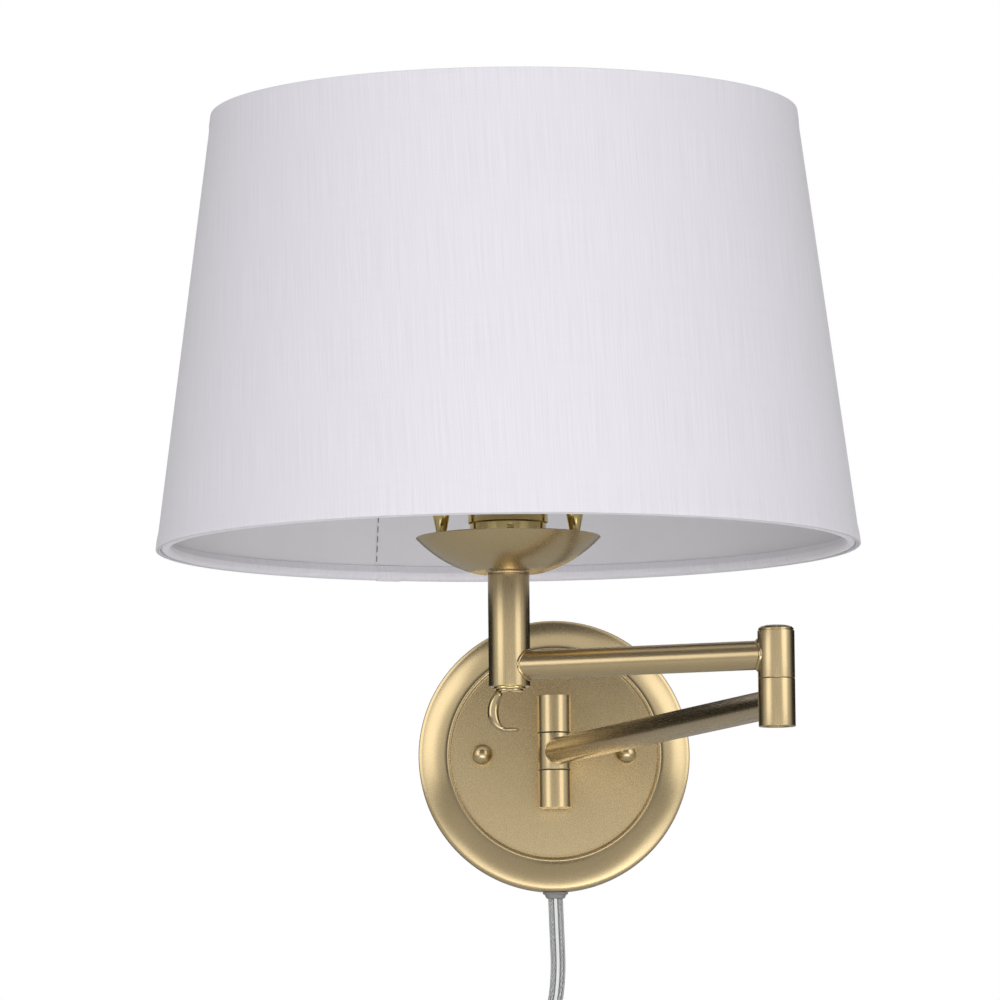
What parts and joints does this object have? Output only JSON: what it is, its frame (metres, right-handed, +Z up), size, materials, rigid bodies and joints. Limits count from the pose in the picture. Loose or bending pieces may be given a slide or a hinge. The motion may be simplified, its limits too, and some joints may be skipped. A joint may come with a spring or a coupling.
{
  "type": "swing arm wall sconce",
  "caption": "Plug-in wall sconce with a round stepped plate, folding two-part swing arm, upright post, shallow cup, harp and tapered drum shade, in satin brass and white linen.",
  "frame": {"origin": "centre of the mounting crossbar's slots, on the wall plane", "axes": "+Z up, -Y straight out of the wall, +X to the viewer's right when facing the wall"},
  "size_m": [0.3048, 0.4326, 0.52],
  "materials": {
    "satin_brass": "fine satin brushed, champagne brass, lacquered",
    "polished_brass": "polished",
    "zinc_steel": "zinc plated",
    "dark_washer": "moulded",
    "wire_sheath": "moulded",
    "connector_plastic": "moulded",
    "insulating_card": "card",
    "switch_plastic": "moulded",
    "plated_contact": "nickel plated",
    "frosted_glass": "frosted",
    "white_linen": "fine slub weave",
    "white_lining": "smooth lining",
    "white_wire": "white",
    "grey_plastic": "moulded",
    "clear_cord": "clear with bright conductors",
    "clear_plug": "clear moulded",
    "dark_tie": "moulded"
  },
  "bodies": {
    "wall": {"wall_plate": "satin_brass", "mounting_crossbar": "zinc_steel", "plate_studs": "zinc_steel", "stud_nuts": "zinc_steel", "ball_nuts": "satin_brass", "pivot_yoke": "satin_brass", "pivot_pins": "zinc_steel", "pivot_end_plugs": "satin_brass", "pivot_washers": "dark_washer", "stem_collar": "satin_brass", "stem_nut": "zinc_steel", "stem_washer": "zinc_steel", "plate_leads": "wire_sheath", "wire_connectors": "connector_plastic", "cord_bushing": "grey_plastic", "supply_cord": "clear_cord", "cord_tail": "clear_cord", "cord_coil": "clear_cord", "cord_tie": "dark_tie", "plug_body": "clear_plug", "plug_blades": "plated_contact"},
    "lower_arm": {"pivot_knuckle": "satin_brass", "lower_arm_tube": "satin_brass", "elbow_lower_barrel": "satin_brass", "elbow_spindle": "zinc_steel", "elbow_base_plug": "satin_brass", "elbow_washer": "dark_washer", "lower_arm_lead": "wire_sheath"},
    "upper_arm": {"elbow_upper_barrel": "satin_brass", "elbow_cap": "satin_brass", "upper_arm_tube": "satin_brass", "upper_leads": "wire_sheath", "post_tube": "satin_brass", "post_inserts": "zinc_steel", "post_collar": "polished_brass", "cup": "satin_brass", "lamp_nipple": "zinc_steel", "cup_nut": "polished_brass", "harp_saddle": "polished_brass", "harp_wire": "polished_brass", "harp_ferrules": "polished_brass", "harp_stud": "polished_brass", "socket_cap": "polished_brass", "socket_shell": "polished_brass", "socket_insulator": "insulating_card", "rotary_switch": "switch_plastic", "screw_shell": "plated_contact", "centre_contact": "polished_brass", "socket_screw": "polished_brass", "bulb_base": "plated_contact", "bulb_glass": "frosted_glass", "shade_cover": "white_linen", "shade_lining": "white_lining", "shade_rings": "white_wire", "hem_tapes": "white_linen", "shade_spider": "polished_brass", "finial": "polished_brass"},
    "switch_key": {"switch_key": "polished_brass", "switch_rod": "polished_brass"}
  },
  "joints": [
    {"name": "wall_pivot", "type": "hinge", "parent": "wall", "child": "lower_arm", "pos_m": [0, -0.041, 0], "axis": [0, 0, 1], "range_deg": [-101, 65]},
    {"name": "elbow", "type": "hinge", "parent": "lower_arm", "child": "upper_arm", "pos_m": [0.09289, -0.3252, 0.0104], "axis": [0, 0, 1], "range_deg": [-37, 296]},
    {"name": "switch_turn", "type": "hinge", "parent": "upper_arm", "child": "switch_key", "pos_m": [-0.02082, -0.28018, 0.0094], "axis": [0, 0, 1], "continuous": true}
  ]
}
